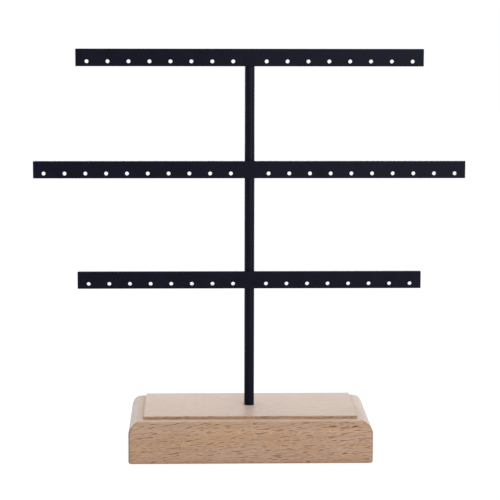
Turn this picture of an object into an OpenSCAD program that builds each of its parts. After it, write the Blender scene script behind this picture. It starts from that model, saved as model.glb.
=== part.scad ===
// Three-tier earring display stand: perforated flat bars on a post in a stepped wooden base.
// The origin is on the table under the middle of the base. +X runs along the bars and -Y is the front.

/* [Base] */
// Width of the wooden base
base_w = 140; // [100:1:200]
// Depth of the wooden base, front to back
base_d = 80; // [60:1:120]
// Height of the wooden base with its raised panel
base_h = 26; // [24:0.5:40]
// Radius of the rounding along the upper edges
roundover_r = 7.6; // [3:0.1:10]
// Width of the flat ledge between the rounding and the raised panel
ledge_w = 1; // [0.4:0.1:4]
// Height of the raised panel above the ledge
panel_step = 1.65; // [0.8:0.05:3]
// Rounding on the top edges of the raised panel
panel_ease = 0.35; // [0.1:0.05:0.6]
// Radius of the four upright corners
corner_r = 2; // [0.5:0.1:5]
// Rounding along the bottom edges
foot_round = 1.2; // [0.4:0.1:3]

/* [Post] */
// Diameter of the round post
post_d = 5.8; // [4.5:0.1:8]
// Depth of the socket in the base that holds the post
socket_depth = 12; // [6:0.5:14]
// Clearance of the post in its socket, on the diameter
socket_clearance = 0.1; // [0.05:0.05:0.4]
// Chamfer on both ends of the post
post_chamfer = 0.4; // [0.1:0.05:0.6]
// How far the top of the post stays below the upper edge of the top bar
post_setback = 0.6; // [0:0.1:3]

/* [Bars] */
// Thickness of the flat bars
bar_t = 2; // [1:0.1:4]
// Height of the flat bars
bar_h = 10; // [8:0.1:16]
// Rounding of a bar's four corners, seen from the front
bar_corner_r = 0.4; // [0.1:0.1:2]
// Length of the top bar and of the bottom bar
short_bar_l = 200; // [100:1:300]
// Length of the middle bar
long_bar_l = 250; // [120:1:340]
// Height of the bottom bar's middle line above the top of the base
bottom_bar_rise = 75; // [40:1:140]
// Height from one bar's middle line to the next
tier_pitch = 64.5; // [40:0.5:100]

/* [Earring holes] */
// Diameter of the earring holes
hole_d = 2.2; // [1.2:0.1:3.6]
// Distance from hole to hole
hole_pitch = 12; // [8:0.5:20]
// Height of the holes' centres above the lower edge of a bar
hole_rise = 2.8; // [2:0.05:5]
// Space between the two innermost holes of a short bar, centre to centre
short_middle_gap = 19.2; // [14:0.1:30]
// Space between the two innermost holes of the long bar, centre to centre
long_middle_gap = 21.8; // [14:0.1:30]
// Least distance from the last hole's centre to the end of a bar
end_margin = 5; // [3:0.5:11]

/* [Welds] */
// Length of each weld bead
weld_l = 7; // [4:0.5:7.5]
// Radius of a weld bead's rounded face
weld_r = 1.4; // [1:0.1:2]
// Distance from the line where bar and post touch to the inner edge of a bead
weld_root = 0.8; // [0.5:0.05:1]

/* [Fixing screw] */
// Outer diameter of the screw's thread
screw_d = 3; // [2.5:0.1:3.2]
// Length of the screw under its head
screw_l = 16; // [12:1:20]
// Diameter of the screw's head
head_d = 5.6; // [5:0.1:7]
// Height of the screw's head
head_h = 2.2; // [1.6:0.1:3]
// Rounding on the head's outer edge
head_round = 0.9; // [0.3:0.1:1.2]
// Width of the blades of the cross recess in the head
recess_w = 0.8; // [0.5:0.1:1.2]
// Length of the cross recess in the head
recess_l = 3; // [2:0.1:3.6]
// Depth of the cross recess in the head
recess_depth = 1.2; // [0.6:0.1:1.5]
// Clearance of the thread's core in the tapped end of the post, on the diameter
thread_clearance = 0.1; // [0.05:0.05:0.2]
// Height of the thread's profile, on the radius
thread_h = 0.3; // [0.2:0.05:0.35]
// Spare depth of the tapped hole beyond the tip of the screw
tap_spare = 2; // [1:0.5:5]
// Wood between the floor of the socket and the floor of the screw's recess
web_t = 6; // [3:0.5:7]
// Diameter of the screw's clearance hole in the wood
screw_hole_d = 3.6; // [3.4:0.1:4.4]
// Diameter of the recess for the head and the washer
counterbore_d = 10; // [9:0.5:16]
// Outer diameter of the washer
washer_d = 8; // [6.5:0.5:8.5]
// Inner diameter of the washer
washer_hole_d = 3.3; // [3.3:0.1:3.6]
// Thickness of the washer
washer_t = 0.8; // [0.4:0.1:1.2]

/* [Hidden] */
$fn = 96;
beech = [0.80, 0.66, 0.54];
powder_black = [0.10, 0.10, 0.12];
zinc = [0.72, 0.73, 0.74];
// Overshoot that lets a cut pass cleanly through a face
cut = 1;

ledge_z = base_h - panel_step;
panel_inset = roundover_r + ledge_w;
socket_floor_z = base_h - socket_depth;
recess_floor_z = socket_floor_z - web_t;

bottom_bar_z = base_h + bottom_bar_rise;
middle_bar_z = bottom_bar_z + tier_pitch;
top_bar_z = middle_bar_z + tier_pitch;
bar_heights = [bottom_bar_z, middle_bar_z, top_bar_z];
post_r = post_d / 2;
post_top_z = top_bar_z + bar_h / 2 - post_setback;
bar_back_y = -post_r;

core_d = screw_d - 2 * thread_h;
head_top_z = recess_floor_z - washer_t;
tap_d = core_d + thread_clearance;
tap_top_z = head_top_z + screw_l + tap_spare;

// Rectangle of width w between two heights, centred on the upright axis
module band(w, low, high) {
    translate([-w / 2, low]) square([w, high - low]);
}

// Pair of circles that round the two edges of a band of width w
module edge_pair(w, height, r) {
    for (side = [-1, 1])
        translate([side * (w / 2 - r), height]) circle(r);
}

// Upright section of the base block across a width w
module base_section(w) {
    panel_w = w - 2 * panel_inset;
    band(w - 2 * foot_round, 0, foot_round);
    edge_pair(w, foot_round, foot_round);
    band(w, foot_round, ledge_z - roundover_r);
    edge_pair(w, ledge_z - roundover_r, roundover_r);
    band(w - 2 * roundover_r, 0, ledge_z);
    band(panel_w, 0, base_h - panel_ease);
    edge_pair(panel_w, base_h - panel_ease, panel_ease);
    band(panel_w - 2 * panel_ease, 0, base_h);
}

// Rectangle round the origin with rounded corners
module rounded_rectangle(w, h, r) {
    square([w, h - 2 * r], center = true);
    square([w - 2 * r, h], center = true);
    for (x = [-1, 1], y = [-1, 1])
        translate([x * (w / 2 - r), y * (h / 2 - r)]) circle(r);
}

// Block that both sections and the plan leave, so that its mouldings meet in mitres
module base_block() {
    intersection() {
        rotate([90, 0, 0]) linear_extrude(base_d, center = true) base_section(base_w);
        rotate([90, 0, 90]) linear_extrude(base_w, center = true) base_section(base_d);
        linear_extrude(base_h) rounded_rectangle(base_w, base_d, corner_r);
    }
}

module base() {
    color(beech) difference() {
        base_block();
        translate([0, 0, socket_floor_z]) cylinder(d = post_d + socket_clearance, h = socket_depth + cut);
        translate([0, 0, -cut]) cylinder(d = screw_hole_d, h = base_h);
        translate([0, 0, -cut]) cylinder(d = counterbore_d, h = recess_floor_z + cut);
    }
}

// Rod turned from one profile, chamfered at both ends and tapped at the foot
module post() {
    color(powder_black) difference() {
        rotate_extrude() polygon([
            [0, socket_floor_z],
            [post_r - post_chamfer, socket_floor_z],
            [post_r, socket_floor_z + post_chamfer],
            [post_r, post_top_z - post_chamfer],
            [post_r - post_chamfer, post_top_z],
            [0, post_top_z]
        ]);
        translate([0, 0, socket_floor_z - cut]) cylinder(d = tap_d, h = tap_top_z - socket_floor_z + cut);
    }
}

// Number of holes that fit on one side of a bar
function holes_per_side(bar_l, middle_gap) =
    floor((bar_l / 2 - middle_gap / 2 - end_margin) / hole_pitch) + 1;

// Face of a flat bar, pierced by a row of holes on each side of the middle gap
module bar_face(bar_l, middle_gap) {
    difference() {
        rounded_rectangle(bar_l, bar_h, bar_corner_r);
        for (side = [-1, 1], i = [0 : holes_per_side(bar_l, middle_gap) - 1])
            translate([side * (middle_gap / 2 + i * hole_pitch), hole_rise - bar_h / 2]) circle(d = hole_d);
    }
}

// Flat bar in front of the post, with its middle line at a height
module perforated_bar(bar_l, middle_gap, bar_z) {
    color(powder_black) translate([0, bar_back_y, bar_z]) rotate([90, 0, 0])
        linear_extrude(bar_t) bar_face(bar_l, middle_gap);
}

module top_bar() {
    perforated_bar(short_bar_l, short_middle_gap, top_bar_z);
}

module middle_bar() {
    perforated_bar(long_bar_l, long_middle_gap, middle_bar_z);
}

module bottom_bar() {
    perforated_bar(short_bar_l, short_middle_gap, bottom_bar_z);
}

// Fillet weld in the corner between the back of a bar and the right flank of the post
module weld_section() {
    difference() {
        intersection() {
            translate([weld_root + weld_r, bar_back_y]) circle(weld_r);
            translate([0, bar_back_y]) square(2 * post_d);
        }
        circle(post_r);
    }
}

module weld_beads() {
    color(powder_black) for (bar_z = bar_heights, side = [0, 1])
        translate([0, 0, bar_z - weld_l / 2]) mirror([side, 0, 0]) linear_extrude(weld_l) weld_section();
}

// Half outline of the screw, head down, with its rounded head and its thread drawn at the core
module screw_profile() {
    head_bottom_z = head_top_z - head_h;
    translate([0, head_bottom_z]) square([head_d / 2 - head_round, head_h]);
    translate([0, head_bottom_z + head_round]) square([head_d / 2, head_h - head_round]);
    intersection() {
        translate([head_d / 2 - head_round, head_bottom_z + head_round]) circle(head_round);
        translate([0, head_bottom_z]) square([head_d / 2, head_h]);
    }
    translate([0, head_top_z - head_h / 2]) square([core_d / 2, screw_l + head_h / 2]);
}

module fixing_screw() {
    color(zinc) difference() {
        rotate_extrude() screw_profile();
        for (turn = [0, 90])
            rotate([0, 0, turn]) translate([0, 0, head_top_z - head_h])
                cube([recess_l, recess_w, 2 * recess_depth], center = true);
    }
}

module washer() {
    color(zinc) translate([0, 0, head_top_z]) difference() {
        cylinder(d = washer_d, h = washer_t);
        translate([0, 0, -cut]) cylinder(d = washer_hole_d, h = washer_t + 2 * cut);
    }
}

base();
post();
top_bar();
middle_bar();
bottom_bar();
weld_beads();
fixing_screw();
washer();
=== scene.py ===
import math

import bpy
from mathutils import Matrix, Vector, noise


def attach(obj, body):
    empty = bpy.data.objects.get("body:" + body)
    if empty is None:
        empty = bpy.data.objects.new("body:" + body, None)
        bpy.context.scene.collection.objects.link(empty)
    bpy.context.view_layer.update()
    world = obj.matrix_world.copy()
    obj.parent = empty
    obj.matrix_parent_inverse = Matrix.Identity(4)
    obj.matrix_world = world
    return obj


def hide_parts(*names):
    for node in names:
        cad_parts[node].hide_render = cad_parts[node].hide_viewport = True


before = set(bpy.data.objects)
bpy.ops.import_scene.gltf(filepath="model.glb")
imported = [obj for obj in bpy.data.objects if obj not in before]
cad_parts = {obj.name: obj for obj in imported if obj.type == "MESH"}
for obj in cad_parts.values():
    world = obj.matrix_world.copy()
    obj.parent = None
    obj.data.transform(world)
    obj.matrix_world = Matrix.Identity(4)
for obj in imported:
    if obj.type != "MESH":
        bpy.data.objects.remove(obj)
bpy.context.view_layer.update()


# Camera.
# It stands a little left of the stand and above it, and looks slightly down through a long lens,
# so that the bars stay nearly level and the base shows a thin strip of its top.
CAMERA_PLACE = (-0.0316041, -1.09843, 0.2714622)
CAMERA_TURN, CAMERA_DIP, CAMERA_ROLL = -0.0291, -0.1388, -0.0022  # in radians
LENS, SENSOR_WIDTH = 136.8, 36.0

camera_data = bpy.data.cameras.new("camera")
camera_data.sensor_width = SENSOR_WIDTH
camera_data.lens = LENS
camera_data.clip_end = 50.0
camera = bpy.data.objects.new("camera", camera_data)
dip_and_roll = Matrix.Rotation(CAMERA_DIP, 4, "X") @ Matrix.Rotation(CAMERA_ROLL, 4, "Y")
level_view = Matrix.Rotation(math.radians(90), 4, "X")
aim = Matrix.Rotation(CAMERA_TURN, 4, "Z") @ dip_and_roll
camera.matrix_world = Matrix.Translation(CAMERA_PLACE) @ aim @ level_view
bpy.context.scene.collection.objects.link(camera)
bpy.context.scene.camera = camera
bpy.context.scene.view_settings.view_transform = "Standard"


# Studio light and floor.
# The stand is photographed on white against white, in soft light from all round. A tall diffuser faces it
# from the front right, fainter ones from the left and the right, and two lamps fill in from behind and above.
WHITE = (1.0, 1.0, 1.0, 1.0)
FLOOR_GREY = (0.80, 0.80, 0.80, 1.0)
SHADOW_GREY = (0.22, 0.22, 0.22, 1.0)
FLOOR_HALF, FLOOR_Z = 3.0, -0.0001
LAMPS_FACE = (0.0, 0.0, 0.12)


def add(tree, kind, inputs=None, **settings):
    """Adds a node, sets its options, and fills its sockets with plain values or other nodes' outputs."""
    made = tree.nodes.new(kind)
    for option, value in settings.items():
        setattr(made, option, value)
    for socket, value in (inputs or {}).items():
        if isinstance(value, bpy.types.NodeSocket):
            tree.links.new(value, made.inputs[socket])
        else:
            made.inputs[socket].default_value = value
    return made


def maths(tree, operation, *values, clamp=False):
    """The output of one sum on values or sockets."""
    terms = dict(enumerate(values))
    return add(tree, "ShaderNodeMath", terms, operation=operation, use_clamp=clamp).outputs[0]


def background_or(tree, lit, seen):
    """One shader for the light on the object, and another for what shows as the background:
    straight to the camera, in a reflection or through glass."""
    path = add(tree, "ShaderNodeLightPath")
    direct = maths(tree, "ADD", path.outputs["Is Camera Ray"], path.outputs["Is Glossy Ray"])
    looked_at = maths(tree, "ADD", direct, path.outputs["Is Transmission Ray"], clamp=True)
    return add(tree, "ShaderNodeMixShader", {0: looked_at, 1: lit, 2: seen}).outputs[0]


def blank_material(name):
    """A material with an empty tree of nodes."""
    made = bpy.data.materials.new(name)
    made.use_nodes = True
    made.node_tree.nodes.clear()
    return made


world = bpy.data.worlds.new("white_surroundings")
world.use_nodes = True
surroundings = world.node_tree
surroundings.nodes.clear()
soft_light = add(surroundings, "ShaderNodeBackground", {"Color": WHITE, "Strength": 0.68})
white_wall = add(surroundings, "ShaderNodeBackground", {"Color": WHITE, "Strength": 1.0})
either = background_or(surroundings, soft_light.outputs[0], white_wall.outputs[0])
add(surroundings, "ShaderNodeOutputWorld", {"Surface": either})
bpy.context.scene.world = world

floor_paper = blank_material("floor_paper")
paper = floor_paper.node_tree
plain_paper = add(paper, "ShaderNodeBsdfDiffuse", {"Color": FLOOR_GREY})
shadow_part = add(paper, "ShaderNodeBsdfDiffuse", {"Color": SHADOW_GREY})
white_part = add(paper, "ShaderNodeEmission", {"Color": WHITE, "Strength": 0.87})
lit_paper = add(paper, "ShaderNodeAddShader", {0: shadow_part.outputs[0], 1: white_part.outputs[0]})
either = background_or(paper, plain_paper.outputs[0], lit_paper.outputs[0])
add(paper, "ShaderNodeOutputMaterial", {"Surface": either})

floor_corners = [(FLOOR_HALF * x, FLOOR_HALF * y, FLOOR_Z) for x, y in ((-1, -1), (1, -1), (1, 1), (-1, 1))]
floor_mesh = bpy.data.meshes.new("floor")
floor_mesh.from_pydata(floor_corners, [], [(0, 1, 2, 3)])
floor_mesh.materials.append(floor_paper)
floor = bpy.data.objects.new("floor", floor_mesh)
bpy.context.scene.collection.objects.link(floor)


def diffuser(name, place, width, height, watts):
    """A large soft lamp that faces the middle of the stand."""
    lamp_data = bpy.data.lights.new(name, "AREA")
    lamp_data.shape = "RECTANGLE"
    lamp_data.size = width
    lamp_data.size_y = height
    lamp_data.energy = watts
    lamp = bpy.data.objects.new(name, lamp_data)
    towards = Vector(LAMPS_FACE) - Vector(place)
    turn = towards.to_track_quat("-Z", "Y").to_matrix().to_4x4()
    lamp.matrix_world = Matrix.Translation(place) @ turn
    bpy.context.scene.collection.objects.link(lamp)


diffuser("right_diffuser", place=(0.42, -1.42, 0.35), width=0.50, height=1.10, watts=6.1)
diffuser("left_diffuser", place=(-1.10, -1.00, 0.60), width=0.90, height=0.90, watts=0.9)
diffuser("side_strip", place=(0.90, -0.85, 0.17), width=0.30, height=0.34, watts=3.0)
diffuser("back_diffuser", place=(0.0, 0.14, 0.20), width=0.30, height=0.08, watts=0.23)
diffuser("overhead_diffuser", place=(0.0, 0.20, 1.10), width=0.90, height=0.60, watts=0.3)


# Base.
# A block of solid beech, 140 by 80 mm, with its grain along its length. A router cuts the quarter-round
# and the raised panel, which leaves mitred corners, and the block is sanded and left without stain.
MM = 0.001  # the sizes from here on are in millimetres, and the scene is in metres
BASE_W, BASE_D, BASE_H = 140.0, 80.0, 26.0
LEDGE_Z = 24.35
ROUNDOVER = 7.6
PANEL_INSET = 8.6
PANEL_EASE = 0.35
FOOT_ROUND = 1.2
UPRIGHT_CORNER = 2.0
LEAST_CORNER = 0.45
CORNER_STEPS = 8
SOCKET_R, SOCKET_FLOOR = 2.95, 14.0
SCREW_HOLE_R = 1.8
RECESS_R, RECESS_FLOOR = 5.0, 8.0
WANDER, WANDER_RUN = 0.10, 3.2
REAL_EDGE = math.radians(40)


def side_stations(length, first=0.12, step=1.6):
    """Shares of one straight side, with a point close to each end that keeps the flat flat."""
    inner = length - 2 * first
    count = max(2, round(inner / step))
    distances = [0.0, first]
    distances += [first + inner * k / count for k in range(1, count)]
    distances += [length - first, length]
    return [distance / length for distance in distances]


STATIONS_X = side_stations(BASE_W - 2 * UPRIGHT_CORNER)
STATIONS_Y = side_stations(BASE_D - 2 * UPRIGHT_CORNER)


def between(outer, inner, share):
    """An outline part of the way from one outline to another."""
    return [(a[0] + (b[0] - a[0]) * share, a[1] + (b[1] - a[1]) * share) for a, b in zip(outer, inner)]


def base_outline(inset):
    """The block's outline at a distance inside its sides, anticlockwise, always with as many points."""
    half_x, half_y = BASE_W / 2 - inset, BASE_D / 2 - inset
    corner = max(LEAST_CORNER, UPRIGHT_CORNER - inset)
    centre_x, centre_y = half_x - corner, half_y - corner
    sides = [
        ((half_x, -centre_y), (half_x, centre_y), STATIONS_Y, (centre_x, centre_y), 0.0),
        ((centre_x, half_y), (-centre_x, half_y), STATIONS_X, (-centre_x, centre_y), 0.5),
        ((-half_x, centre_y), (-half_x, -centre_y), STATIONS_Y, (-centre_x, -centre_y), 1.0),
        ((-centre_x, -half_y), (centre_x, -half_y), STATIONS_X, (centre_x, -centre_y), 1.5),
    ]
    outline = []
    for start, end, stations, centre, quarter in sides:
        for share in stations:
            outline += between([start], [end], share)
        for k in range(1, CORNER_STEPS):
            turn = math.pi * (quarter + 0.5 * k / CORNER_STEPS)
            outline.append((centre[0] + corner * math.cos(turn), centre[1] + corner * math.sin(turn)))
    return outline


panel_directions = [math.atan2(y, x) for x, y in base_outline(PANEL_INSET)]


def round_outline(radius):
    """A circle round the post's axis, with one point for each point of the block's outline."""
    return [(radius * math.cos(a), radius * math.sin(a)) for a in panel_directions]


def quarter_turn(steps):
    """The sine and cosine at even steps through a quarter turn."""
    bends = [math.radians(90) * k / steps for k in range(steps + 1)]
    return [(math.sin(bend), math.cos(bend)) for bend in bends]


# Each level of the block's skin is an outline, its height, and how dark it is painted there: cutter scorch
# mixed with painted shade along the step and into the ledge's inner corner, painted shade along the foot,
# and a darker tone in the socket and the recess.
# They run from the screw's hole up the socket, out over the block and in again to the recess below.
levels = []


def round_levels(rows):
    """Adds round levels, each given by its radius, height and darkening."""
    levels.extend((round_outline(radius), height, dark) for radius, height, dark in rows)


def side_levels(rows):
    """Adds levels that follow the block's sides, each given by its inset, height and darkening."""
    levels.extend((base_outline(inset), height, dark) for inset, height, dark in rows)


def flat_levels(outer, inner, shares, height):
    """Adds levels across a flat face, between two outlines."""
    levels.extend((between(outer, inner, share), height, 0.0) for share in shares)


round_levels([
    (SCREW_HOLE_R, SOCKET_FLOOR, 0.3),
    (SOCKET_R - 0.1, SOCKET_FLOOR, 0.3),
    (SOCKET_R, SOCKET_FLOOR + 0.1, 0.3),
    (SOCKET_R, BASE_H - 0.35, 0.6),
    (SOCKET_R, BASE_H - 0.20, 0.6),
    (SOCKET_R + 0.06, BASE_H - 0.06, 0.5),
    (SOCKET_R + 0.20, BASE_H, 0.3),
    (SOCKET_R + 0.35, BASE_H, 0.0),
])
panel_edge = base_outline(PANEL_INSET + PANEL_EASE + 0.4)
flat_levels(round_outline(SOCKET_R + 1.0), panel_edge, (0.10, 0.30, 0.60, 0.85, 1.0), BASE_H)
# Cutter scorch mixed with painted shade: the ease, the step and the ledge's inner corner are painted darker
# where shade falls in the step.
side_levels([
    (PANEL_INSET + PANEL_EASE * (1 - sine), BASE_H - PANEL_EASE * (1 - cosine), 0.05 + 0.06 * k)
    for k, (sine, cosine) in enumerate(quarter_turn(5))
])
side_levels([
    (PANEL_INSET, BASE_H - 0.55, 0.8),
    (PANEL_INSET, LEDGE_Z + 0.55, 1.0),
    (PANEL_INSET, LEDGE_Z + 0.22, 1.0),
    (PANEL_INSET - 0.06, LEDGE_Z + 0.06, 0.8),
    (PANEL_INSET - 0.22, LEDGE_Z, 0.25),
    (PANEL_INSET - 0.5, LEDGE_Z, 0.0),
])
side_levels([
    (ROUNDOVER * (1 - sine), LEDGE_Z - ROUNDOVER * (1 - cosine), 0.0)
    for sine, cosine in quarter_turn(16)
])
# Painted shade: the lowest few millimetres and the foot's rounding are painted darker where the block meets
# the floor.
side_levels([
    (0.0, LEDGE_Z - ROUNDOVER - 0.3, 0.0),
    (0.0, 12.5, 0.0),
    (0.0, 8.0, 0.0),
    (0.0, 4.0, 0.08),
    (0.0, FOOT_ROUND + 0.3, 0.28),
])
side_levels([
    (FOOT_ROUND * (1 - cosine), FOOT_ROUND * (1 - sine), min(1.0, 0.30 + 0.20 * k))
    for k, (sine, cosine) in enumerate(quarter_turn(6))
])
foot_edge = base_outline(FOOT_ROUND + 0.3)
flat_levels(foot_edge, round_outline(RECESS_R + 0.6), (0.0, 0.3, 0.6, 0.9), 0.0)
round_levels([
    (RECESS_R + 0.5, 0.0, 0.0),
    (RECESS_R + 0.25, 0.0, 0.3),
    (RECESS_R + 0.07, 0.07, 0.6),
    (RECESS_R, 0.25, 0.6),
    (RECESS_R, RECESS_FLOOR - 0.3, 0.6),
    (RECESS_R, RECESS_FLOOR - 0.1, 0.6),
    (RECESS_R - 0.1, RECESS_FLOOR, 0.6),
    (SCREW_HOLE_R + 0.1, RECESS_FLOOR, 0.6),
    (SCREW_HOLE_R, RECESS_FLOOR + 0.1, 0.6),
])


def closed_skin(levels):
    """Points in millimetres, and four-sided faces between each level and the next, and back to the first."""
    points, faces = [], []
    around = len(levels[0][0])
    for k, (outline, height, dark) in enumerate(levels):
        points += [(x, y, height) for x, y in outline]
        low, high = k * around, ((k + 1) % len(levels)) * around
        for j in range(around):
            i = (j + 1) % around
            faces.append((low + j, high + j, high + i, low + i))
    return points, faces


def hand_cut(points, scorch_and_shade):
    """Lets the lower line of the step wander a little, as a cutter leaves it, and turns points to metres."""
    moved = []
    for (x, y, z), dark in zip(points, scorch_and_shade):
        if dark >= 0.8 and LEDGE_Z - 0.1 < z < LEDGE_Z + 0.3:
            z += WANDER * noise.noise(Vector((x / WANDER_RUN, y / WANDER_RUN, 4.0)))
        moved.append((x * MM, y * MM, z * MM))
    return moved


def finish_mesh(name, points, faces, material):
    """Makes an object at the origin from points in metres, smooth except where faces meet at a real edge."""
    mesh = bpy.data.meshes.new(name)
    mesh.from_pydata(points, [], faces)
    mesh.validate()
    mesh.shade_smooth()
    mesh.set_sharp_from_angle(angle=REAL_EDGE)
    mesh.materials.append(material)
    piece = bpy.data.objects.new(name, mesh)
    bpy.context.scene.collection.objects.link(piece)
    return piece


def product(tree, first, *others):
    """Several values multiplied together."""
    for other in others:
        first = maths(tree, "MULTIPLY", first, other)
    return first


def largest(tree, first, *others):
    """The largest of several values."""
    for other in others:
        first = maths(tree, "MAXIMUM", first, other)
    return first


def vector_of(tree, x=0.0, y=0.0, z=0.0):
    """A vector made of three values or sockets."""
    return add(tree, "ShaderNodeCombineXYZ", {0: x, 1: y, 2: z}).outputs[0]


def parts_of(tree, vector):
    """A vector's three values, by the names X, Y and Z."""
    return add(tree, "ShaderNodeSeparateXYZ", {0: vector}).outputs


def vector_maths(tree, operation, *values):
    """The output of one sum on vectors: a vector, or a plain value for a length."""
    made = add(tree, "ShaderNodeVectorMath", dict(enumerate(values)), operation=operation)
    return made.outputs["Value" if operation == "LENGTH" else "Vector"]


def ramp(tree, value, low, high, to_low=0.0, to_high=1.0):
    """A value carried smoothly from one range to another."""
    limits = {0: value, 1: low, 2: high, 3: to_low, 4: to_high}
    return add(tree, "ShaderNodeMapRange", limits, interpolation_type="SMOOTHSTEP").outputs[0]


def tint(tree, share, first, second):
    """Two colours mixed by the share of the second."""
    return add(tree, "ShaderNodeMix", {0: share, 6: first, 7: second}, data_type="RGBA").outputs[2]


def cells(tree, point, size, move=(0.0, 0.0, 0.0)):
    """The point in units of a pattern whose cells have this size in millimetres."""
    scale = tuple(1.0 / (s * MM) for s in size)
    return add(tree, "ShaderNodeMapping", {"Vector": point, "Location": move, "Scale": scale}).outputs[0]


def cloud(tree, point, size, detail=2.0, move=(0.0, 0.0, 0.0), rough=0.5):
    """Soft noise from 0 to 1 whose patches have this size in millimetres."""
    place_in_cells = cells(tree, point, size, move)
    looks = {"Vector": place_in_cells, "Scale": 1.0, "Detail": detail, "Roughness": rough}
    return add(tree, "ShaderNodeTexNoise", looks).outputs[0]


beech = blank_material("beech")
wood = beech.node_tree
here = add(wood, "ShaderNodeTexCoord").outputs["Object"]

# The fibres run along the block and rise to the right, most at its left end, and they wander a little.
place = parts_of(wood, here)
climb = product(wood, place["X"], maths(wood, "MULTIPLY_ADD", place["X"], 0.32, -0.09))
level = vector_of(wood, place["X"], place["Y"], maths(wood, "ADD", place["Z"], climb))
waver_place = cells(wood, level, (16.0, 24.0, 5.0))
waver = add(wood, "ShaderNodeTexNoise", {"Vector": waver_place, "Scale": 1.0, "Detail": 1.0})
drift = vector_maths(wood, "SUBTRACT", waver.outputs["Color"], (0.5, 0.5, 0.5))
drift = vector_maths(wood, "MULTIPLY", drift, (0.0, 2.4 * MM, 0.8 * MM))
fibre = vector_maths(wood, "ADD", level, drift)


def ray_spindles(spacing, spindle, least, move):
    """Spindles where the rays of the beech are cut across, with their spacing and half sizes in millimetres.
    Gives the way from the nearest one's middle, in its own half sizes, and how strongly it shows."""
    point = cells(wood, fibre, spacing, move)
    scatter = {"Vector": point, "Scale": 1.0, "Randomness": 0.78}
    spots = add(wood, "ShaderNodeTexVoronoi", scatter, feature="F1")
    away = vector_maths(wood, "SUBTRACT", point, spots.outputs["Position"])
    away = vector_maths(wood, "MULTIPLY", away, spacing)
    chance = add(wood, "ShaderNodeSeparateColor", {0: spots.outputs["Color"]}).outputs
    slope = maths(wood, "MULTIPLY_ADD", chance["Green"], -0.13, 0.02)
    lean = product(wood, parts_of(wood, away)["X"], slope)
    away = vector_maths(wood, "ADD", away, vector_of(wood, z=lean))
    away = vector_maths(wood, "DIVIDE", away, spindle)
    return away, ramp(wood, chance["Red"], least, 1.0, 0.50, 1.0)


def dark_core(away, strength):
    """The dark wood inside a spindle."""
    reach = vector_maths(wood, "LENGTH", away)
    return product(wood, ramp(wood, reach, 1.0, 0.70), strength)


def pale_rim(away, strength):
    """The pale wood above and below a spindle."""
    reach = vector_maths(wood, "LENGTH", vector_maths(wood, "MULTIPLY", away, (0.8, 0.4, 0.4)))
    return product(wood, ramp(wood, reach, 1.0, 0.55), strength)


main_rays = ray_spindles((6.4, 12.0, 1.60), spindle=(2.8, 11.0, 0.28), least=0.0, move=(0.3, 0.1, 0.7))
more_rays = ray_spindles((7.4, 10.0, 2.60), spindle=(2.2, 9.0, 0.28), least=0.2, move=(6.3, 3.1, 2.7))
long_rays = ray_spindles((13.0, 18.0, 3.20), spindle=(6.0, 15.0, 0.27), least=0.1, move=(4.1, 2.3, 1.9))
small_rays = ray_spindles((4.4, 7.0, 1.60), spindle=(1.1, 6.0, 0.20), least=0.4, move=(7.7, 5.2, 3.1))
small_flecks = product(wood, dark_core(*small_rays), 0.5)
flecks = largest(wood, dark_core(*main_rays), dark_core(*more_rays), dark_core(*long_rays), small_flecks)
rows = ramp(wood, cloud(wood, fibre, (22.0, 14.0, 2.0), move=(2.0, 8.0, 5.0)), 0.30, 0.60, 0.60, 1.0)
rims = largest(wood, pale_rim(*main_rays), pale_rim(*more_rays), pale_rim(*long_rays))

# On the faces along the rays they show only as faint broad streaks.
facing = parts_of(wood, add(wood, "ShaderNodeTexCoord").outputs["Normal"])
upward = maths(wood, "ABSOLUTE", facing["Z"])


def by_face(on_sides, on_level_faces):
    """A value that changes smoothly between the block's sides and its level faces."""
    return ramp(wood, upward, 0.80, 0.995, on_sides, on_level_faces)


cut_across = by_face(1.0, 0.10)
flecks = product(wood, flecks, rows, cut_across)
rims = product(wood, rims, cut_across)

fibres = cloud(wood, fibre, (18.0, 3.0, 0.62), move=(1.0, 2.0, 3.0), rough=0.6)
rings = cloud(wood, fibre, (60.0, 8.0, 4.5), move=(5.0, 1.0, 0.0))
patches = cloud(wood, fibre, (48.0, 6.0, 8.0), move=(3.0, 3.0, 6.0), rough=0.6)
blush = cloud(wood, fibre, (60.0, 7.0, 9.0), move=(9.0, 1.0, 2.0), rough=0.6)

LIGHT_WOOD = (0.432, 0.277, 0.186, 1.0)
RIM_AND_LIT_WOOD = (0.520, 0.355, 0.246, 1.0)
DEEP_WOOD = (0.345, 0.176, 0.080, 1.0)
PINK_WOOD = (0.412, 0.266, 0.199, 1.0)
STRAW_WOOD = (0.437, 0.251, 0.121, 1.0)
FLECK_BROWN = (0.150, 0.046, 0.003, 1.0)
END_WOOD = (0.200, 0.098, 0.050, 1.0)
SCORCH_AND_SHADE_BROWN = (0.225, 0.105, 0.060, 1.0)

colour = tint(wood, ramp(wood, fibres, 0.25, 0.63), DEEP_WOOD, LIGHT_WOOD)
colour = tint(wood, ramp(wood, rings, 0.38, 0.62, 0.30, 0.0), colour, DEEP_WOOD)
depth_of_hue = by_face(1.0, 0.45)
pink_share = product(wood, ramp(wood, patches, 0.42, 0.58, 0.0, 0.86), depth_of_hue)
straw_share = product(wood, ramp(wood, blush, 0.45, 0.60, 0.0, 0.86), depth_of_hue)
colour = tint(wood, pink_share, colour, PINK_WOOD)
colour = tint(wood, straw_share, colour, STRAW_WOOD)
colour = tint(wood, ramp(wood, place["X"], -0.09, 0.07, 0.35, 0.0), colour, STRAW_WOOD)
colour = tint(wood, product(wood, rims, 0.90), colour, RIM_AND_LIT_WOOD)

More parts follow.
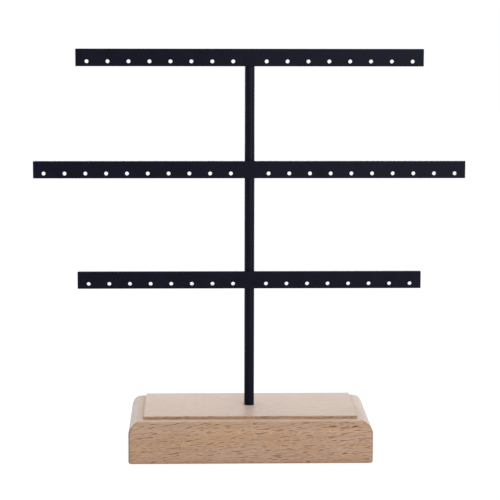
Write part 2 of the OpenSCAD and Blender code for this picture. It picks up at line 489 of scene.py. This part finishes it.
# Painted light: the top is painted paler towards the back, where more light falls on it.
painted_back_light = product(wood, ramp(wood, place["Y"], -0.025, 0.031, 0.0, 0.50), by_face(0.0, 1.0))
colour = tint(wood, painted_back_light, colour, RIM_AND_LIT_WOOD)
colour = tint(wood, flecks, colour, FLECK_BROWN)

# The end grain drinks in the light, so the wood darkens as it turns towards its two ends.
endward = maths(wood, "ABSOLUTE", facing["X"])
colour = tint(wood, ramp(wood, endward, 0.40, 0.95, 0.0, 0.75), colour, END_WOOD)

# Blotches from the scorch attribute darken the wood: cutter scorch mixed with painted shade along the step,
# painted shade along the foot, and a darker tone in the socket and the recess.
burn_and_shade = add(wood, "ShaderNodeAttribute", attribute_name="scorch_and_shade").outputs["Fac"]
blotches = ramp(wood, cloud(wood, here, (2.4, 2.4, 1.2), move=(0.0, 5.0, 0.0)), 0.32, 0.66, 0.30, 1.0)
colour = tint(wood, product(wood, burn_and_shade, blotches, 0.75), colour, SCORCH_AND_SHADE_BROWN)

gloss = ramp(wood, fibres, 0.2, 0.8, 0.44, 0.36)
gloss = maths(wood, "ADD", gloss, product(wood, flecks, -0.06))
pores = cloud(wood, fibre, (1.6, 0.16, 0.12), move=(0.0, 0.0, 9.0))
pores = product(wood, pores, by_face(0.6, 0.2))
relief = maths(wood, "ADD", pores, product(wood, flecks, -0.5))
grain_relief = add(wood, "ShaderNodeBump", {"Strength": 0.25, "Distance": 0.022 * MM, "Height": relief})
satin = add(wood, "ShaderNodeBsdfPrincipled", {
    "Base Color": colour,
    "Roughness": gloss,
    "Normal": grain_relief.outputs[0],
    "IOR": 1.5,
    "Sheen Weight": 0.67,
    "Sheen Roughness": 0.35,
})
add(wood, "ShaderNodeOutputMaterial", {"Surface": satin.outputs[0]})

base_points, base_faces = closed_skin(levels)
base_scorch_and_shade = [dark for outline, height, dark in levels for point in outline]
base = finish_mesh("stepped_base", hand_cut(base_points, base_scorch_and_shade), base_faces, beech)
scorch_and_shade_layer = base.data.attributes.new("scorch_and_shade", "FLOAT", "POINT")
scorch_and_shade_layer.data.foreach_set("value", base_scorch_and_shade)
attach(base, "root")
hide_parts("base")


# Post.
# A solid steel rod, 5.8 mm thick, turned with softened ends and powder-coated matt black.
# Its foot stands in the socket of the base, where a tapped hole takes the fixing screw.
POST_R = 2.9
POST_FOOT, POST_TOP = 14.0, 234.4
POST_STEPS = 72
TOP_ROUND = 0.4
TAP_R, TAP_TOP = 1.25, 25.2
COAT_BLACK = (0.0020, 0.0027, 0.0092, 1.0)
COAT_PALER = (0.0034, 0.0041, 0.0120, 1.0)


def turned(profile, steps):
    """Points and faces of a (radius, height) profile turned round the upright axis, closed at its poles."""
    points, faces, rings = [], [], []
    for radius, height in profile:
        start = len(points)
        if radius == 0.0:
            points.append((0.0, 0.0, height * MM))
            rings.append([start] * steps)
        else:
            for k in range(steps):
                turn = 2 * math.pi * k / steps
                points.append((radius * MM * math.cos(turn), radius * MM * math.sin(turn), height * MM))
            rings.append(list(range(start, start + steps)))
    for lower, upper in zip(rings, rings[1:]):
        for k in range(steps):
            j = (k + 1) % steps
            corners = [lower[k], lower[j], upper[j], upper[k]]
            faces.append(tuple(dict.fromkeys(corners)))
    return points, faces


powder_coat = blank_material("black_powder_coat")
coat = powder_coat.node_tree
here = add(coat, "ShaderNodeTexCoord").outputs["Object"]
mottle = cloud(coat, here, (9.0, 9.0, 9.0), detail=3.0)
orange_peel = cloud(coat, here, (0.55, 0.55, 0.55), detail=1.0, move=(3.0, 1.0, 2.0))
dust = cloud(coat, here, (0.16, 0.16, 0.16), detail=1.0, move=(8.0, 1.0, 5.0))
coat_colour = tint(coat, ramp(coat, mottle, 0.3, 0.7), COAT_BLACK, COAT_PALER)
coat_gloss = maths(coat, "ADD", ramp(coat, mottle, 0.2, 0.8, 0.30, 0.36), product(coat, dust, 0.05))
peel = add(coat, "ShaderNodeBump", {"Strength": 0.12, "Distance": 0.04 * MM, "Height": orange_peel})
grit = add(coat, "ShaderNodeBump", {
    "Strength": 0.10,
    "Distance": 0.01 * MM,
    "Height": dust,
    "Normal": peel.outputs[0],
})
matt_black = add(coat, "ShaderNodeBsdfPrincipled", {
    "Base Color": coat_colour,
    "Roughness": coat_gloss,
    "Normal": grit.outputs[0],
    "Specular IOR Level": 0.075,
})
add(coat, "ShaderNodeOutputMaterial", {"Surface": matt_black.outputs[0]})

post_profile = [
    (0.0, TAP_TOP),
    (TAP_R - 0.1, TAP_TOP),
    (TAP_R, TAP_TOP - 0.1),
    (TAP_R, POST_FOOT + 0.1),
    (TAP_R + 0.1, POST_FOOT),
    (POST_R - 0.5, POST_FOOT),
    (POST_R - 0.4, POST_FOOT),
    (POST_R - 0.05, POST_FOOT + 0.35),
    (POST_R, POST_FOOT + 0.5),
]
post_profile += [(POST_R, height) for height in (20.0, 25.5, 60.0, 97.0, 130.0, 162.0, 195.0, 225.0)]
post_profile += [
    (POST_R - TOP_ROUND * (1 - cosine), POST_TOP - TOP_ROUND * (1 - sine))
    for sine, cosine in quarter_turn(5)
]
post_profile += [(POST_R - TOP_ROUND - 0.2, POST_TOP), (0.0, POST_TOP)]
post_points, post_faces = turned(post_profile, POST_STEPS)
post = finish_mesh("post_rod", post_points, post_faces, powder_coat)
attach(post, "root")
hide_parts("post")


# Bars.
# Three flat steel bars, 2 mm thick and 10 mm high, each punched with two rows of 2.2 mm holes
# for earring hooks, welded to the front of the post and coated with it, so every edge is softened.
BAR_T, BAR_H = 2.0, 10.0
BAR_CORNER = 0.4
HOLE_D, HOLE_PITCH, HOLE_RISE = 2.2, 12.0, 2.8
COAT_EDGE = 0.22
LOWEST_BAR, BAR_SPACING = 101.0, 64.5


def named_inputs(tree, kinds):
    """Gives a tree its inputs, by name and kind, and returns their identifiers and their sockets."""
    identifiers = {}
    for label, kind in kinds.items():
        socket = tree.interface.new_socket(name=label, in_out="INPUT", socket_type="NodeSocket" + kind)
        identifiers[label] = socket.identifier
    return identifiers, add(tree, "NodeGroupInput").outputs


def joined(tree, *shapes):
    """Several shapes as one."""
    together = add(tree, "GeometryNodeJoinGeometry")
    for shape in shapes:
        tree.links.new(shape, together.inputs[0])
    return together.outputs[0]


def copies(tree, places, shape):
    """Real copies of a shape, one at each place."""
    placed = add(tree, "GeometryNodeInstanceOnPoints", {"Points": places, "Instance": shape})
    return add(tree, "GeometryNodeRealizeInstances", {"Geometry": placed.outputs[0]}).outputs[0]


def finish_tree(tree, label, shape, material):
    """Ends a tree: makes all of the shape real, covers it with its material and puts it out."""
    tree.interface.new_socket(name=label, in_out="OUTPUT", socket_type="NodeSocketGeometry")
    whole = add(tree, "GeometryNodeRealizeInstances", {"Geometry": shape})
    covered = add(tree, "GeometryNodeSetMaterial", {"Geometry": whole.outputs[0], "Material": material})
    add(tree, "NodeGroupOutput", {0: covered.outputs[0]})


def shaped_by(name, tree, identifiers, sizes):
    """An object at the origin that a tree shapes, with its sizes set by their sockets' identifiers."""
    piece = bpy.data.objects.new(name, bpy.data.meshes.new(name))
    bpy.context.scene.collection.objects.link(piece)
    shape = piece.modifiers.new(tree.name, "NODES")
    shape.node_group = tree
    for label, value in sizes.items():
        shape[identifiers[label]] = value
    return piece


def make_plain(piece):
    """Turns what a piece's modifiers make into its own mesh, and takes the modifiers off."""
    bpy.context.view_layer.update()
    finished = piece.evaluated_get(bpy.context.evaluated_depsgraph_get())
    made = bpy.data.meshes.new_from_object(finished)
    piece.modifiers.clear()
    piece.data = made


punched_bar = bpy.data.node_groups.new("punched_bar", "GeometryNodeTree")
bar_inputs, size = named_inputs(punched_bar, {
    "Length": "Float",
    "Height": "Float",
    "Thickness": "Float",
    "Corner radius": "Float",
    "Hole diameter": "Float",
    "Hole pitch": "Float",
    "Middle gap": "Float",
    "Hole height": "Float",
    "Holes per side": "Int",
    "Place": "Vector",
})

# The face is drawn with its corners and its holes, filled, and drawn forward to the bar's thickness.
blank = {"Width": size["Length"], "Height": size["Height"]}
blank_edge = add(punched_bar, "GeometryNodeCurvePrimitiveQuadrilateral", blank)
rounding = {"Curve": blank_edge.outputs[0], "Count": 4, "Radius": size["Corner radius"]}
outer_edge = add(punched_bar, "GeometryNodeFilletCurve", rounding, mode="POLY")

half_gap = product(punched_bar, size["Middle gap"], 0.5)
hole_line = maths(punched_bar, "SUBTRACT", size["Hole height"], product(punched_bar, size["Height"], 0.5))
hole_rows = []
for side in (1.0, -1.0):
    row = add(punched_bar, "GeometryNodeMeshLine", {
        "Count": size["Holes per side"],
        "Start Location": vector_of(punched_bar, product(punched_bar, half_gap, side), hole_line),
        "Offset": vector_of(punched_bar, product(punched_bar, size["Hole pitch"], side)),
    })
    hole_rows.append(row.outputs[0])
punch_radius = product(punched_bar, size["Hole diameter"], 0.5)
punch = add(punched_bar, "GeometryNodeCurvePrimitiveCircle", {"Resolution": 32, "Radius": punch_radius})
holes = copies(punched_bar, joined(punched_bar, *hole_rows), punch.outputs[0])

drawing = joined(punched_bar, outer_edge.outputs[0], holes)
back_face = add(punched_bar, "GeometryNodeFillCurve", {"Curve": drawing})
turned_back = add(punched_bar, "GeometryNodeFlipFaces", {"Mesh": back_face.outputs[0]})
front_and_sides = add(punched_bar, "GeometryNodeExtrudeMesh", {
    "Mesh": back_face.outputs[0],
    "Offset Scale": size["Thickness"],
    "Individual": False,
})
shell = joined(punched_bar, turned_back.outputs[0], front_and_sides.outputs[0])
closed = add(punched_bar, "GeometryNodeMergeByDistance", {"Geometry": shell, "Distance": 0.01 * MM})
upright = add(punched_bar, "GeometryNodeTransform", {
    "Geometry": closed.outputs[0],
    "Rotation": (math.radians(90), 0.0, 0.0),
    "Translation": size["Place"],
})
finish_tree(punched_bar, "Bar", upright.outputs[0], powder_coat)


def bar(name, node, length, middle_gap, holes_per_side, height):
    """One punched bar with its middle line at a height, in millimetres."""
    piece = shaped_by(name, punched_bar, bar_inputs, {
        "Length": length * MM,
        "Height": BAR_H * MM,
        "Thickness": BAR_T * MM,
        "Corner radius": BAR_CORNER * MM,
        "Hole diameter": HOLE_D * MM,
        "Hole pitch": HOLE_PITCH * MM,
        "Middle gap": middle_gap * MM,
        "Hole height": HOLE_RISE * MM,
        "Holes per side": holes_per_side,
        "Place": (0.0, -POST_R * MM, height * MM),
    })
    soft_edges = piece.modifiers.new("soft_edges", "BEVEL")
    soft_edges.width = COAT_EDGE * MM
    soft_edges.segments = 3
    soft_edges.limit_method = "ANGLE"
    soft_edges.angle_limit = math.radians(50)
    soft_edges.harden_normals = True
    make_plain(piece)
    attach(piece, "root")
    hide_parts(node)


bar("top_punched_bar", "top_bar", 200.0, 19.2, 8, LOWEST_BAR + 2 * BAR_SPACING)
bar("middle_punched_bar", "middle_bar", 250.0, 21.8, 10, LOWEST_BAR + BAR_SPACING)
bar("bottom_punched_bar", "bottom_bar", 200.0, 19.2, 8, LOWEST_BAR)


# Welds.
# A short rippled bead lies in each corner between the back of a bar and the flank of the post,
# two to a bar, under the same black coat.
BEAD_L, BEAD_R = 6.8, 1.3
BEAD_X = 2.15
BEAD_RIPPLES, RIPPLE_SWELL = 7.0, 0.10
BEAD_EDGE = math.radians(60)

bead_run = bpy.data.node_groups.new("weld_bead_run", "GeometryNodeTree")
bead_inputs, size = named_inputs(bead_run, {
    "Bead length": "Float",
    "Bead radius": "Float",
    "Bead offset": "Float",
    "Wall depth": "Float",
    "Lowest bar": "Float",
    "Bar spacing": "Float",
})
half_bead = product(bead_run, size["Bead length"], 0.5)
path = add(bead_run, "GeometryNodeCurvePrimitiveLine", {
    "Start": vector_of(bead_run, z=product(bead_run, half_bead, -1.0)),
    "End": vector_of(bead_run, z=half_bead),
})
path = add(bead_run, "GeometryNodeResampleCurve", {"Curve": path.outputs[0], "Count": 61})

# Along the bead its radius swells at each ripple and tapers off at both ends.
share = add(bead_run, "GeometryNodeSplineParameter").outputs["Factor"]
saw = maths(bead_run, "FRACT", product(bead_run, share, BEAD_RIPPLES))
ripple = product(bead_run, maths(bead_run, "SINE", product(bead_run, saw, math.pi)), RIPPLE_SWELL)
from_middle = maths(bead_run, "ABSOLUTE", maths(bead_run, "SUBTRACT", product(bead_run, share, 2.0), 1.0))
taper = maths(bead_run, "SUBTRACT", 1.02, maths(bead_run, "POWER", from_middle, 6.0))
swell = product(bead_run, maths(bead_run, "ADD", ripple, 0.90), maths(bead_run, "SQRT", taper))
bead_radius = product(bead_run, swell, size["Bead radius"])
swelling = add(bead_run, "GeometryNodeSetCurveRadius", {"Curve": path.outputs[0], "Radius": bead_radius})
section = add(bead_run, "GeometryNodeCurvePrimitiveCircle", {"Resolution": 24, "Radius": 1.0})
bead = add(bead_run, "GeometryNodeCurveToMesh", {
    "Curve": swelling.outputs[0],
    "Profile Curve": section.outputs[0],
    "Scale": bead_radius,
    "Fill Caps": True,
})

bead_columns = []
for side in (1.0, -1.0):
    beside_post = product(bead_run, size["Bead offset"], side)
    column = add(bead_run, "GeometryNodeMeshLine", {
        "Count": 3,
        "Start Location": vector_of(bead_run, beside_post, size["Wall depth"], size["Lowest bar"]),
        "Offset": vector_of(bead_run, z=size["Bar spacing"]),
    })
    bead_columns.append(column.outputs[0])
beads = copies(bead_run, joined(bead_run, *bead_columns), bead.outputs[0])
finish_tree(bead_run, "Beads", beads, powder_coat)

welds = shaped_by("rippled_welds", bead_run, bead_inputs, {
    "Bead length": BEAD_L * MM,
    "Bead radius": BEAD_R * MM,
    "Bead offset": BEAD_X * MM,
    "Wall depth": -POST_R * MM,
    "Lowest bar": LOWEST_BAR * MM,
    "Bar spacing": BAR_SPACING * MM,
})
make_plain(welds)
welds.data.shade_smooth()
welds.data.set_sharp_from_angle(angle=BEAD_EDGE)
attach(welds, "root")
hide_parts("weld_beads")


# Fixing screw and washer.
# A zinc-plated machine screw with a rounded head and a cross recess comes up from the underside
# through a plain washer, and pulls the post down into its socket. Both are as the model has them.
ZINC_DULL = (0.560, 0.575, 0.590, 1.0)
ZINC_BRIGHT = (0.690, 0.695, 0.690, 1.0)

zinc = blank_material("zinc_plate")
plate = zinc.node_tree
here = add(plate, "ShaderNodeTexCoord").outputs["Object"]
bloom = cloud(plate, here, (1.8, 1.8, 1.8), detail=3.0)
scratches = cloud(plate, here, (0.12, 0.9, 0.12), detail=1.0, move=(2.0, 0.0, 4.0))
plate_colour = tint(plate, ramp(plate, bloom, 0.3, 0.7), ZINC_DULL, ZINC_BRIGHT)
plate_gloss = maths(plate, "ADD", ramp(plate, bloom, 0.2, 0.8, 0.26, 0.40), product(plate, scratches, 0.10))
scored = add(plate, "ShaderNodeBump", {"Strength": 0.25, "Distance": 0.01 * MM, "Height": scratches})
plated = add(plate, "ShaderNodeBsdfPrincipled", {
    "Base Color": plate_colour,
    "Metallic": 1.0,
    "Roughness": plate_gloss,
    "Normal": scored.outputs[0],
})
add(plate, "ShaderNodeOutputMaterial", {"Surface": plated.outputs[0]})
for node in ("fixing_screw", "washer"):
    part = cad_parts[node]
    part.data.materials.clear()
    part.data.materials.append(zinc)
